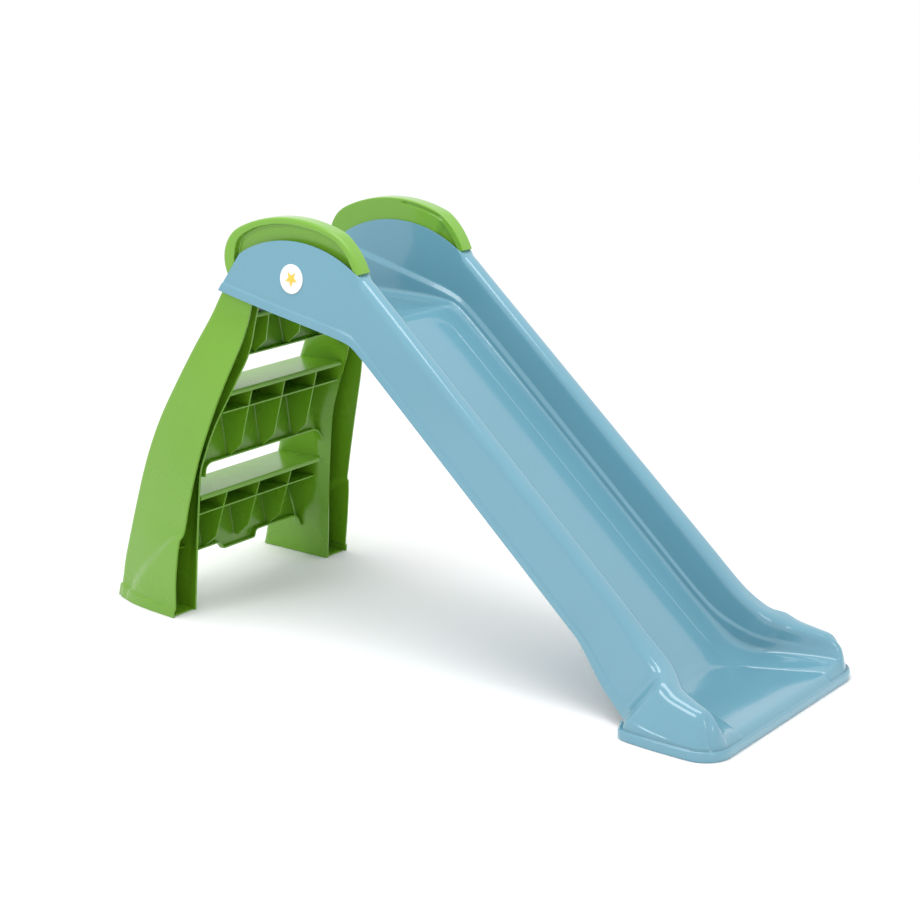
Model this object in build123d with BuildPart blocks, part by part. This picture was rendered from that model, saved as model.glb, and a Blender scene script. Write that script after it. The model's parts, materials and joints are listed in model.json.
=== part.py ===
from build123d import *
import os
from math import cos, radians, sin, tan

# Folding toddler slide. Origin on the floor, midway along the length and on the
# centre plane. +X points to the exit and +Z up. Side pieces are built at +Y.

# Driving dimensions, in millimetres and degrees
length = 1160.0
wall = 3.0

# Slide shell: double side walls, platform, chute and exit base in one moulding
chute_angle = 42.05
side_half_width = 147.0
trough_half_width = 110.0
rim_radius = 11.0
crest_radius = 215.0
crest_x = -214.0
crest_top = 623.0
rear_x = -366.0
rear_z = 531.0
rear_edge_angle = 56.0
side_depth = 82.0
platform_z = 505.0
rear_corner_x = -318.0
rear_corner_radius = 26.0
platform_edge_slope = 0.186
kink_x = -98.0
edge_bend_z = 96.0
bed_depth = 62.0
bed_bend = 60.0
bed_fillet = 24.0
ledge_depth = 47.0
ledge_width = 4.0
ledge_rise = 52.0
ledge_bend = 50.0
band_height = 13.0
band_thickness = 1.2
band_setback = 12.0

# Exit base
exit_floor_z = 24.0
exit_mouth_half_width = 166.0
mouth_start_x = 350.0
base_half_width = 217.7
base_rear_half_width = 178.0
base_back_half_width = 132.0
base_back = 24.0
base_blank_height = 140.0
base_corner = 38.0
base_rear_x = 408.0
base_side_x = 489.0
base_draft = 14.0
bead_height = 15.0
bead_inset = 4.0
base_fillet = 16.0
knee_x = 473.6
knee_z = 77.2
knee_angle = 13.8
knee_bend = 200.0

# Ladder: one moulding of two rails open to the front, two steps and a top member
pivot_x = -250.0
pivot_z = 560.0
head_radius = 26.0
head_inner_y = 117.0
head_outer_y = 141.0
rail_levels = (
    # height, rear x, front x, rear inner and outer y, front inner and outer y
    (0.0, -580.0, -418.0, 166.0, 188.0, 166.0, 220.0),
    (60.0, -562.0, -413.0, 160.0, 183.5, 165.0, 218.5),
    (110.0, -551.5, -408.0, 152.0, 181.0, 163.5, 216.0),
    (165.0, -540.0, -397.5, 141.0, 177.0, 163.0, 205.0),
    (255.0, -511.5, -376.5, 133.0, 170.0, 158.0, 197.5),
    (358.0, -468.0, -346.0, 124.0, 159.0, 142.0, 181.0),
    (430.0, -426.0, -325.0, 119.5, 150.0, 123.5, 158.0),
    (509.0, -378.0, -304.0, 117.0, 141.0, 117.0, 141.0),
    (533.0, -364.5, -298.0, 117.0, 141.0, 117.0, 141.0),
)
rail_rib_z = 104.0
rail_rib_setback = 30.0
steps = (
    # tread height, tread back and front x, half length, riser foot height and x
    (186.0, -505.0, -418.0, 165.0, 75.0, -484.0),
    (366.0, -438.0, -358.0, 150.0, 243.0, -421.0),
    (494.0, -376.0, -318.0, 121.0, 423.0, -362.0),
)
tab_half_width = 42.0
tab_drop = 12.0
rib_pitch = 80.0
rib = 2.4
shelf_drop = 32.0
flange = 12.0
rib_foot_ahead = 32.0
rib_foot_above = 20.0

# Pivot pins, pressed in the ladder's heads, turning in blind sockets of the double walls
pin_radius = 5.0
pin_gap = 0.05
socket_radius = 9.5
socket_length = 2.6
socket_skin = 1.0

# Handrails
handrail_inner_y = 115.5
handrail_outer_y = 141.5
handrail_arcs = (
    # start, middle and end of each arc of the crest, from the rear forwards
    ((-350.0, 554.0), (-356.0, 598.0), (-327.0, 633.0)),
    ((-327.0, 633.0), (-216.0, 660.0), (-128.0, 640.0)),
    ((-128.0, 640.0), (-101.0, 614.0), (-85.0, 586.0)),
)
handrail_lip = 11.0
handrail_recess = 8.0
handrail_skirt = 27.0
pad_angles = (-24.0, 0.0, 24.0)
pad_inset = 17.0
pad_size = (12.0, 10.0)

# Round badge on each side
badge_radius = 23.0
badge_thickness = 0.8
badge_x = -214.0
badge_z = 566.0

half_length = length / 2
slope = tan(radians(chute_angle))
square = cos(radians(chute_angle))
crest_z = crest_top - crest_radius
slot_inner_y = trough_half_width + wall
slot_outer_y = side_half_width - wall
kink = (kink_x, rear_z - platform_edge_slope * (kink_x - rear_x - 10.0))
clear = 60.0


def rim_height(x, depth=0.0):
    """Height at x of the chute's rim line, lowered square to the line by depth."""
    rim_x = crest_x + crest_radius * sin(radians(chute_angle))
    rim_z = crest_z + crest_radius * square
    return rim_z - slope * (x - rim_x) - depth / square


def rim_reaches(z, depth=0.0):
    """Where the line at that depth below the rim comes down to the height z."""
    return (rim_height(0.0, depth) - z) / slope


def knee_height(x, depth=0.0):
    """Height at x of the line along the top of the exit's side bulges."""
    return knee_z - tan(radians(knee_angle)) * (x - knee_x) - depth / cos(radians(knee_angle))


def on_crest(angle, inset=0.0):
    """Point of the crest arc, at an angle from straight up towards the exit."""
    reach = crest_radius - inset
    return (crest_x + reach * sin(radians(angle)), crest_z + reach * cos(radians(angle)))


def crest_at(x, inset=0.0):
    """Height of the crest arc at x."""
    return crest_z + ((crest_radius - inset) ** 2 - (x - crest_x) ** 2) ** 0.5


def at_y(y):
    """Sketch plane at y whose local axes are +X and +Z. It extrudes towards -Y."""
    return Plane(origin=(0, y, 0), x_dir=(1, 0, 0), z_dir=(0, -1, 0))


def knee_corner(inset):
    """Where the rim line and the bulge line cross, both lowered by inset."""
    gap = rim_height(0.0, inset) - knee_height(0.0, inset)
    x = gap / (slope - tan(radians(knee_angle)))
    return (x, rim_height(x, inset))


def chute_block(inset=0.0, drop=0.0):
    """Solid under the rim, from the slot's front end to the base, rounded along the rim."""
    start = on_crest(chute_angle, inset)
    front = (half_length - 20.0, knee_height(half_length - 20.0, inset))
    low_bend = (rim_reaches(edge_bend_z, side_depth), edge_bend_z)
    low_start = (start[0], rim_height(start[0], side_depth + drop))
    half = side_half_width - inset
    with BuildPart() as block:
        with BuildSketch(at_y(half)):
            with BuildLine():
                FilletPolyline(start, knee_corner(inset), front, radius=knee_bend)
                Polyline(front, (front[0], -drop), (base_rear_x - 14.0 + inset, -drop), low_bend,
                         low_start, start)
            make_face()
        extrude(amount=2 * half)
        rim = block.edges().filter_by(lambda e: abs(abs(e.center().Y) - half) < 0.1)
        rim = rim.filter_by(lambda e: e.center().Z > rim_height(e.center().X, 30.0))
        rim = rim.filter_by(lambda e: e.center().X < knee_x + clear)
        fillet(rim, radius=rim_radius - 0.8 * inset)
    return block.part


def platform_block():
    """Solid between the side walls' outer faces, from the rear edge to the rim's start."""
    rise = tan(radians(rear_edge_angle))
    corner_x = rear_x + (crest_at(rear_corner_x) - rear_z) / rise
    corner = (corner_x, crest_at(corner_x))
    middle = on_crest(0.0)
    front = on_crest(chute_angle)
    low_front = (front[0], rim_height(front[0], side_depth))
    with BuildPart() as block:
        with BuildSketch(at_y(side_half_width)):
            with BuildLine():
                ThreePointArc(corner, middle, front)
                Polyline(front, low_front, kink, (rear_x, rear_z), corner)
            make_face()
            fillet(vertices().sort_by(Axis.X)[1:2], radius=rear_corner_radius)
        extrude(amount=2 * side_half_width)
    return block.part


def base_outline(inset):
    """Plan of the exit base."""
    half = base_half_width - inset
    back = base_rear_x - base_back + inset
    rear = (base_rear_x + inset, base_rear_half_width - inset)
    side = (base_side_x, half)
    front = half_length - inset
    with BuildSketch() as plan:
        with BuildLine():
            Polyline((back, 0), (front, 0), (front, half), side)
            TangentArc(side, rear, tangent=(-1, 0))
            Polyline(rear, (back, base_back_half_width), (back, 0))
        make_face()
        mirror(about=Plane.XZ)
        fillet(plan.vertices().group_by(Axis.X)[-1], radius=base_corner - inset)
    return plan.sketch


def base_block(inset=0.0, drop=0.0):
    """Exit base: a bead on the floor and drafted walls up to the side bulges."""
    back = base_rear_x - clear
    ahead = half_length + clear
    with BuildPart() as block:
        with BuildSketch(Plane.XY.offset(bead_height - inset)):
            add(base_outline(bead_inset + inset))
        extrude(amount=base_blank_height, taper=base_draft)
        with BuildSketch(at_y(clear + base_half_width)):
            with BuildLine():
                Polyline((back, crest_top), (back, rim_height(back, inset)), knee_corner(inset),
                         (ahead, knee_height(ahead, inset)), (ahead, crest_top), (back, crest_top))
            make_face()
        extrude(amount=2 * (clear + base_half_width), mode=Mode.SUBTRACT)
        bulge = block.faces().filter_by(lambda f: f.normal_at().Z > 0.9).sort_by(Axis.X)[-1]
        top_edges = bulge.edges().filter_by(lambda e: e.center().X > knee_x)
        fillet(top_edges, radius=base_fillet - 0.8 * inset)
        with BuildSketch(Plane.XY.offset(-drop)):
            add(base_outline(inset))
        extrude(amount=bead_height + drop - inset)
    return block.part


def trough(grow=0.0):
    """Space above the bed: platform, chute and the exit's widening mouth."""
    half = trough_half_width - ledge_width + grow
    mouth = exit_mouth_half_width + grow
    far = half_length + clear
    with BuildPart() as space:
        with BuildSketch(Plane.XY):
            with BuildLine():
                Polyline((rear_x - clear, 0), (rear_x - clear, half), (mouth_start_x, half))
                Spline((mouth_start_x, half), (mouth_start_x + 80.0, half + 9.0),
                       (half_length - 80.0, mouth - 20.0), (half_length, mouth), tangents=((1, 0), (3, 1)))
                Polyline((half_length, mouth), (far, mouth), (far, 0), (rear_x - clear, 0))
            make_face()
            mirror(about=Plane.XZ)
        extrude(amount=crest_top + clear)
        low = bed_depth + grow
        floor = exit_floor_z - grow
        level = platform_z - grow
        with BuildSketch(at_y(clear + mouth)):
            with BuildLine():
                FilletPolyline((rear_x - 2 * clear, level), (rim_reaches(level, low), level),
                               (rim_reaches(floor, low), floor), (far + clear, floor), radius=bed_bend)
                Polyline((far + clear, floor), (far + clear, -clear), (rear_x - 2 * clear, -clear),
                         (rear_x - 2 * clear, level))
            make_face()
        extrude(amount=2 * (clear + mouth), mode=Mode.SUBTRACT)
        bed = space.faces().filter_by(lambda f: f.normal_at().Z < -0.3)
        corners = bed.edges().filter_by(lambda e: half - 1 < abs(e.center().Y) < mouth + 1)
        corners = corners.filter_by(lambda e: e.bounding_box().size.X > 1 and e.center().X < half_length)
        fillet(corners, radius=bed_fillet - grow)
    return space.part


def side_band():
    """Raised band along the lower edge of the outer wall at +Y."""
    rear = rear_x + band_setback
    foot = (rim_reaches(edge_bend_z, side_depth), edge_bend_z)
    with BuildPart() as band:
        with BuildSketch(at_y(side_half_width + band_thickness)):
            with BuildLine():
                FilletPolyline((rear, rear_z), kink, foot, radius=20.0)
                FilletPolyline(foot, (foot[0] + 8.0, foot[1] + band_height), (kink[0] + 5.0, kink[1] + band_height),
                               (rear, rear_z + band_height), radius=8.0)
                Line((rear, rear_z + band_height), (rear, rear_z))
            make_face()
        extrude(amount=band_thickness)
    return band.part


def ledge_space(grow=0.0):
    """Extra width of the trough above the ledge on the side walls."""
    half = trough_half_width + grow
    rear = (rear_x - clear, platform_z + ledge_rise - grow)
    bend = (rim_reaches(platform_z + 20.0, ledge_depth + grow), platform_z + 20.0 - grow)
    foot = (base_rear_x - 48.0, rim_height(base_rear_x - 48.0, ledge_depth + grow))
    top = crest_top + clear
    with BuildPart() as space:
        with BuildSketch(at_y(half)):
            with BuildLine():
                FilletPolyline(rear, bend, foot, radius=ledge_bend)
                Polyline(foot, (foot[0], top), (rear[0], top), rear)
            make_face()
        extrude(amount=2 * half)
    return space.part


def slot(side):
    """Open space between the double walls of the platform on one side."""
    rear = rear_x - clear
    front = on_crest(chute_angle)[0]
    low = crest_z - clear
    top = crest_top + clear
    with BuildPart() as space:
        with BuildSketch(at_y(slot_outer_y if side > 0 else -slot_inner_y)):
            with BuildLine():
                Polyline((rear, low), (front, low), (front, top), (rear, top), (rear, low))
            make_face()
        extrude(amount=slot_outer_y - slot_inner_y)
    return space.part


def sockets(radius, low_extra):
    """Four short discs or bores on the pivot axis, on the facing sides of the double walls."""
    with BuildPart() as discs:
        for side in (-1, 1):
            with BuildSketch(at_y(side * slot_inner_y + (socket_length if side > 0 else low_extra))):
                with Locations((pivot_x, pivot_z)):
                    Circle(radius)
            extrude(amount=socket_length + low_extra)
            with BuildSketch(at_y(side * slot_outer_y + (low_extra if side > 0 else socket_length))):
                with Locations((pivot_x, pivot_z)):
                    Circle(radius)
            extrude(amount=socket_length + low_extra)
    return discs.part


os.makedirs("parts", exist_ok=True)

with BuildPart() as cavity:
    add(chute_block(wall, clear))
    add(base_block(wall, clear))
    with BuildSketch(at_y(slot_outer_y)):
        slot_end_x = on_crest(chute_angle)[0] + 1.0
        Polygon((rear_x - clear, crest_z), (slot_end_x, crest_z), (slot_end_x, pivot_z),
                (rear_x - clear, pivot_z), align=None)
    extrude(amount=2 * slot_outer_y)
    add(trough(wall), mode=Mode.SUBTRACT)
    add(ledge_space(wall), mode=Mode.SUBTRACT)

with BuildPart() as slide_shell:
    add(chute_block())
    add(platform_block())
    add(base_block())
    with BuildSketch(at_y(slot_inner_y)):
        Polygon((rear_x, platform_z - wall), (kink_x, platform_z - wall), (kink_x, pivot_z),
                (rear_x + 20.0, pivot_z), (rear_x, rear_z), align=None)
    extrude(amount=2 * slot_inner_y)
    add(side_band())
    mirror(side_band(), about=Plane.XZ)
    add(trough(), mode=Mode.SUBTRACT)
    add(ledge_space(), mode=Mode.SUBTRACT)
    add(cavity.part, mode=Mode.SUBTRACT)
    add(slot(1), mode=Mode.SUBTRACT)
    add(slot(-1), mode=Mode.SUBTRACT)
    add(sockets(socket_radius, 0.0))
    add(sockets(pin_radius + pin_gap, wall - socket_skin), mode=Mode.SUBTRACT)
slide_shell.part.label = "slide_shell"
export_step(slide_shell.part, "parts/slide_shell.step")

with BuildPart() as rail_blank:
    for height, back, front, rear_in, rear_out, front_in, front_out in rail_levels:
        with BuildSketch(Plane.XY.offset(height)):
            Polygon((back, rear_out), (front, front_out), (front, front_in), (back, rear_in), align=None)
    loft(ruled=True)
    mirror(about=Plane.XZ)

with BuildPart() as step_set:
    for top, back, front, end, foot, foot_x in steps:
        with BuildSketch(at_y(end)):
            Polygon((back, top), (front, top), (front, top - wall), (back + wall, top - wall),
                    (foot_x + wall, foot + wall), (foot_x + flange, foot + wall), (foot_x + flange, foot),
                    (foot_x, foot), align=None)
        extrude(amount=2 * end)
        if foot == steps[0][4]:
            with BuildSketch(at_y(tab_half_width)):
                Polygon((foot_x, foot + wall), (foot_x + wall, foot + wall), (foot_x + wall, foot - tab_drop),
                        (foot_x, foot - tab_drop), align=None)
            extrude(amount=2 * tab_half_width)
        lean = (foot_x + rib_foot_ahead, foot + rib_foot_above)
        for i in (-1, 0, 1):
            with BuildSketch(at_y(i * rib_pitch + rib / 2)):
                Polygon((back, top), (front, top), lean, (foot_x, foot), align=None)
            extrude(amount=rib)
        if foot != steps[-1][4]:
            shelf = top - shelf_drop
            shelf_front = front + shelf_drop / (top - lean[1]) * (lean[0] - front)
            with BuildSketch(at_y(end)):
                Polygon((back + 2.0, shelf), (shelf_front, shelf), (shelf_front, shelf - rib),
                        (back + 2.0, shelf - rib), align=None)
            extrude(amount=2 * end)
    add(rail_blank.part, mode=Mode.SUBTRACT)

with BuildPart() as ladder_frame:
    for height, back, front, rear_in, rear_out, front_in, front_out in rail_levels:
        with BuildSketch(Plane.XY.offset(height)):
            Polygon((back, rear_out), (front, front_out), (front, front_out - wall), (back + wall, rear_out - wall),
                    (back + wall, rear_in + wall), (front, front_in + wall), (front, front_in), (back, rear_in),
                    align=None)
    loft(ruled=True)
    height, back, front, rear_in, rear_out, front_in, front_out = rail_levels[0]
    with BuildSketch(Plane.XY):
        Polygon((back, rear_out), (front, front_out), (front, front_in), (back, rear_in), align=None)
    extrude(amount=wall)
    height, back, front, rear_in, rear_out, front_in, front_out = rail_levels[2]
    rib_front = front - rail_rib_setback
    with BuildSketch(Plane.XY.offset(rail_rib_z)):
        Polygon((back, rear_out), (rib_front, front_out - 11.0), (rib_front, front_in + 1.0),
                (back, rear_in + 1.0), align=None)
    extrude(amount=rib)
    height, back, front, rear_in, rear_out, front_in, front_out = rail_levels[-1]
    with BuildSketch(at_y(head_outer_y)):
        with BuildLine():
            Line((back, height), (front, height))
            CenterArc((pivot_x, pivot_z), head_radius, 0, 360)
        make_hull()
    extrude(amount=head_outer_y - head_inner_y)
    mirror(about=Plane.XZ)
    add(step_set.part)
    with BuildSketch(at_y(head_outer_y + clear)):
        with Locations((pivot_x, pivot_z)):
            Circle(pin_radius)
    extrude(amount=2 * (head_outer_y + clear), mode=Mode.SUBTRACT)
ladder_frame.part.label = "ladder_frame"
export_step(ladder_frame.part, "parts/ladder_frame.step")

pin_start = trough_half_width + socket_skin + 0.2
pin_end = side_half_width - socket_skin - 0.2
for name, near_y in (("pivot_pin_left", pin_end), ("pivot_pin_right", -pin_start)):
    with BuildPart() as pin:
        with BuildSketch(at_y(near_y)):
            with Locations((pivot_x, pivot_z)):
                Circle(pin_radius)
        extrude(amount=pin_end - pin_start)
        chamfer(pin.edges(), length=0.8)
    pin.part.label = name
    export_step(pin.part, f"parts/{name}.step")


def handrail_outline():
    """Side view of a handrail, from its crest down to an arc inside the slot."""
    rear = on_crest(-36.0, handrail_skirt)
    front = on_crest(36.0, handrail_skirt)
    with BuildSketch() as outline:
        with BuildLine():
            for start, middle, end in handrail_arcs:
                ThreePointArc(start, middle, end)
            Line(handrail_arcs[-1][2], front)
            ThreePointArc(front, on_crest(0.0, handrail_skirt), rear)
            Line(rear, handrail_arcs[0][0])
        make_face()
    return outline.sketch


with BuildPart() as handrail_left:
    with BuildSketch(at_y(handrail_outer_y)):
        add(handrail_outline())
    extrude(amount=handrail_outer_y - handrail_inner_y)
    with BuildSketch(at_y(handrail_outer_y)):
        add(handrail_outline())
        offset(amount=-handrail_lip)
    extrude(amount=handrail_recess, mode=Mode.SUBTRACT)
    for angle in pad_angles:
        with BuildSketch(at_y(slot_outer_y)):
            with Locations(on_crest(angle, pad_inset)):
                Rectangle(*pad_size, rotation=-angle)
        extrude(amount=slot_outer_y - slot_inner_y)
handrail_left.part.label = "handrail_left"
export_step(handrail_left.part, "parts/handrail_left.step")

with BuildPart() as handrail_right:
    mirror(handrail_left.part, about=Plane.XZ)
handrail_right.part.label = "handrail_right"
export_step(handrail_right.part, "parts/handrail_right.step")

for side, name in ((1, "badge_left"), (-1, "badge_right")):
    with BuildPart() as badge:
        with BuildSketch(at_y(side_half_width + badge_thickness if side > 0 else -side_half_width)):
            with Locations((badge_x, badge_z)):
                Circle(badge_radius)
        extrude(amount=badge_thickness)
    badge.part.label = name
    export_step(badge.part, f"parts/{name}.step")
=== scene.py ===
import json
from math import atan, cos, pi, radians, sin, sqrt, tan

import bmesh
import bpy
import numpy as np
from mathutils import Matrix, Vector


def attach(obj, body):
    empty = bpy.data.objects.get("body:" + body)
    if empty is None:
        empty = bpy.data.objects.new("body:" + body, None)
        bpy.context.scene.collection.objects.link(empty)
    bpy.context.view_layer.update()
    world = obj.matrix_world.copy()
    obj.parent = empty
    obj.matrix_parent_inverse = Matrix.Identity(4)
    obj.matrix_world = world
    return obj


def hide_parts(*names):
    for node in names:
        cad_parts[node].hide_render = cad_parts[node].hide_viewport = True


# Looks of a folding toddler slide. All shapes are worked out in millimetres in the CAD's frame:
# origin on the floor under the middle, +X to the exit, +Z up. make_object() turns them into metres.

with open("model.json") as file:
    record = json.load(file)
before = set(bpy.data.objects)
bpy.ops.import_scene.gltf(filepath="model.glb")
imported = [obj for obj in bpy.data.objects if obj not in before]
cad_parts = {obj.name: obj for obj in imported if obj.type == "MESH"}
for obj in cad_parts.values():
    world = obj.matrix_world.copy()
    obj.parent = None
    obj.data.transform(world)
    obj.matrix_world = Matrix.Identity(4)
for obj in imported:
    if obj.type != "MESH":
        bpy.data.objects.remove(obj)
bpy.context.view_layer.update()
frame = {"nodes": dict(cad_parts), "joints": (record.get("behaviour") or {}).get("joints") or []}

METRE = 0.001
WALL = 3.0

# Side view of the slide
CHUTE_ANGLE = radians(42.05)
SLOPE = tan(CHUTE_ANGLE)
SQUARE = cos(CHUTE_ANGLE)
CREST_X, CREST_Z, CREST_RADIUS = -214.0, 408.0, 215.0
RIM_START_X = CREST_X + CREST_RADIUS * sin(CHUTE_ANGLE)
RIM_START_Z = CREST_Z + CREST_RADIUS * SQUARE
REAR_X, REAR_Z = -366.0, 531.0
REAR_RISE = tan(radians(56.0))
BED_LEVEL = 505.0
BED_DEPTH = 62.0
LEDGE_DEPTH = 50.0
LEDGE_HALF = 4.6
LEDGE_NARROWING = 0.7
LEDGE_TAPER = 380.0
SLOT_END_X = -82.0
SIDE_DEPTH = 82.0
BAND_HEIGHT = 13.0
BAND_STEP = 2.0
BAND_OUT = 2.2
JOIN_X = -30.0
CHUTE_END_X = 370.0
CREST_CORNER_X = -323.0
# Straight lines beside the platform: a height, the x where it is met, and the fall per millimetre forward
LEDGE_LINE = (518.0, -98.0, 0.248)
LOWER_LINE = (528.0, -345.0, 0.186)
# How softly each line bends from the platform into the chute
BED_BEND = 12.0
LEDGE_BEND = 14.0
LOWER_BEND = 8.0

# Steps along the curve of each rounded corner, and the most of a straight stretch that one may take up
TURN_STEPS = 6
LEG_LIMIT = 0.46

# Ladder's pivot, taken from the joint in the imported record
PIVOT = Vector(frame["joints"][0]["pos_m"])


def rim_z(x):
    """Height of the crest and of the chute's rim line at x."""
    on_arc = CREST_Z + np.sqrt(np.maximum(CREST_RADIUS ** 2 - (x - CREST_X) ** 2, 0.0))
    on_line = RIM_START_Z - SLOPE * (x - RIM_START_X)
    return np.where(x < RIM_START_X, on_arc, on_line)


def below_rim(x, depth):
    """Height at x of the line that runs at that depth below the chute's rim, square to it."""
    return RIM_START_Z - SLOPE * (x - RIM_START_X) - depth / SQUARE


def falling(line, x):
    """Height at x of a straight line that falls towards the exit."""
    height, start, fall = line
    return height - fall * (x - start)


def soft_min(a, b, width):
    """The lower of two heights, rounded where they cross."""
    return 0.5 * (a + b - np.sqrt((a - b) ** 2 + width ** 2))


def smooth(t):
    """Soft step from 0 to 1."""
    t = np.clip(t, 0.0, 1.0)
    return t * t * (3.0 - 2.0 * t)


def through(keys, at):
    """Monotone cubic curve through points that are one unit apart, read at the positions in at."""
    keys = np.asarray(keys, float)
    step = np.diff(keys, axis=0)
    slope = np.zeros_like(keys)
    slope[0], slope[-1] = step[0], step[-1]
    same = step[:-1] * step[1:] > 0
    total = np.where(same, step[:-1] + step[1:], 1.0)
    slope[1:-1] = np.where(same, 2.0 * step[:-1] * step[1:] / total, 0.0)
    i = np.clip(np.floor(at).astype(int), 0, len(keys) - 2)
    u = (at - i).reshape((-1,) + (1,) * (keys.ndim - 1))
    start, end = keys[i], keys[i + 1]
    return (start * (1 + 2 * u) * (1 - u) ** 2 + slope[i] * u * (1 - u) ** 2
            + end * u * u * (3 - 2 * u) + slope[i + 1] * u * u * (u - 1))


def table_curve(heights, values, at):
    """Monotone cubic curve through (height, value) pairs with uneven gaps."""
    heights = np.asarray(heights, float)
    values = np.asarray(values, float)
    gap = np.diff(heights)
    rate = np.diff(values) / gap
    slope = np.empty_like(values)
    slope[0], slope[-1] = rate[0], rate[-1]
    same = rate[:-1] * rate[1:] > 0
    total = np.where(same, rate[:-1] + rate[1:], 1.0)
    slope[1:-1] = np.where(same, 2.0 * rate[:-1] * rate[1:] / total, 0.0)
    i = np.clip(np.searchsorted(heights, at, side="right") - 1, 0, len(gap) - 1)
    u = (at - heights[i]) / gap[i]
    return (values[i] * (1 + 2 * u) * (1 - u) ** 2 + slope[i] * gap[i] * u * (1 - u) ** 2
            + values[i + 1] * u * u * (3 - 2 * u) + slope[i + 1] * gap[i] * u * u * (u - 1))


def at_levels(table, at):
    """Curve through a table of (height, value) pairs, read at the heights in at."""
    heights, values = zip(*table)
    return table_curve(heights, values, at)


def rounded_rows(corners, legs, runs, turn=TURN_STEPS):
    """Rows of points along outlines with rounded corners, and the column where each corner's curve starts.

    corners is (rows, corners, 3). legs is (rows, corners, 2): how far before and after a corner its
    curve starts and ends. runs says how many steps each straight stretch takes.
    """
    step = np.diff(corners, axis=1)
    size = np.linalg.norm(step, axis=2, keepdims=True)
    way = step / np.maximum(size, 1e-9)
    columns, starts = [], [0]
    leave = corners[:, 0]
    for k in range(1, corners.shape[1]):
        last = k == corners.shape[1] - 1
        before = 0.0 if last else np.minimum(legs[:, k, :1], LEG_LIMIT * size[:, k - 1])
        arrive = corners[:, k] - way[:, k - 1] * before
        for i in range(runs[k - 1]):
            columns.append(leave + (arrive - leave) * i / runs[k - 1])
        starts.append(len(columns))
        if last:
            columns.append(arrive)
            break
        after = np.minimum(legs[:, k, 1:], LEG_LIMIT * size[:, k])
        end = corners[:, k] + way[:, k] * after
        for i in range(turn):
            u = i / turn
            columns.append((1 - u) ** 2 * arrive + 2 * u * (1 - u) * corners[:, k] + u * u * end)
        leave = end
    return np.stack(columns, axis=1), starts


def grid_faces(rows, columns, first=0, skip=None):
    """Quads of a grid of points, without those that skip names."""
    faces = []
    for i in range(rows - 1):
        for j in range(columns - 1):
            if skip is None or not skip[i, j]:
                a = first + i * columns + j
                faces.append((a, a + columns, a + columns + 1, a + 1))
    return faces


def ring_faces(rings, count, closed=False):
    """Quads between equal rings of points, and from the last ring to the first if closed."""
    faces = []
    for i in range(rings if closed else rings - 1):
        for j in range(count):
            k, n = (j + 1) % count, (i + 1) % rings
            faces.append((i * count + j, i * count + k, n * count + k, n * count + j))
    return faces


def mesh_from(name, points, faces):
    """Mesh in millimetres, with doubled points joined and loose ones removed."""
    mesh = bpy.data.meshes.new(name)
    mesh.from_pydata([tuple(p) for p in points], [], faces)
    work = bmesh.new()
    work.from_mesh(mesh)
    bmesh.ops.remove_doubles(work, verts=work.verts, dist=0.02)
    bmesh.ops.dissolve_degenerate(work, edges=work.edges, dist=0.01)
    bmesh.ops.delete(work, geom=[v for v in work.verts if not v.link_faces], context="VERTS")
    work.to_mesh(mesh)
    work.free()
    return mesh


def facing_out(mesh):
    """The same mesh with its faces turned outwards."""
    work = bmesh.new()
    work.from_mesh(mesh)
    bmesh.ops.recalc_face_normals(work, faces=work.faces)
    work.to_mesh(mesh)
    work.free()
    return mesh


def thickened(name, points, faces, wall=WALL, bevel=0.8):
    """Mesh of a sheet with a wall on the side away from its normals, its cut edges softened."""
    mesh = mesh_from(name, points, faces)
    thing = bpy.data.objects.new(name, mesh)
    bpy.context.scene.collection.objects.link(thing)
    solid = thing.modifiers.new("wall", "SOLIDIFY")
    solid.thickness = wall
    solid.offset = -1.0
    solid.use_even_offset = False
    solid.use_quality_normals = True
    soften(thing, bevel)
    return baked(thing)


def soften(thing, width, segments=2):
    """Bevel on the sharp edges."""
    bevel = thing.modifiers.new("soft_edges", "BEVEL")
    bevel.width = width
    bevel.segments = segments
    bevel.limit_method = "ANGLE"
    bevel.angle_limit = radians(50)
    bevel.use_clamp_overlap = True


def baked(thing):
    """The object's mesh with its modifiers applied; the object itself goes."""
    bpy.context.view_layer.update()
    graph = bpy.context.evaluated_depsgraph_get()
    mesh = bpy.data.meshes.new_from_object(thing.evaluated_get(graph), depsgraph=graph)
    bpy.data.objects.remove(thing)
    return mesh


def solid_loft(name, loops, bevel=1.0, segments=2):
    """Closed solid through equal loops of points, with flat ends, its edges softened."""
    loops = np.asarray(loops, float)
    rows, count = loops.shape[:2]
    faces = ring_faces(rows, count)
    faces.append(tuple(range(count))[::-1])
    faces.append(tuple((rows - 1) * count + j for j in range(count)))
    mesh = facing_out(mesh_from(name, loops.reshape(-1, 3), faces))
    thing = bpy.data.objects.new(name, mesh)
    bpy.context.scene.collection.objects.link(thing)
    soften(thing, bevel, segments)
    return baked(thing)


def slab(name, outline, axis, start, end, bevel=0.8):
    """Solid made from an outline of 3-D points, repeated at two places along an axis."""
    loops = []
    for place in (start, end):
        loop = np.array(outline, float)
        loop[:, axis] = place
        loops.append(loop)
    return solid_loft(name, loops, bevel)


def mirrored(mesh):
    """Copy of a mesh on the other side of the centre plane."""
    copy = mesh.copy()
    copy.transform(Matrix.Scale(-1, 4, (0, 1, 0)))
    copy.flip_normals()
    return copy


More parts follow.
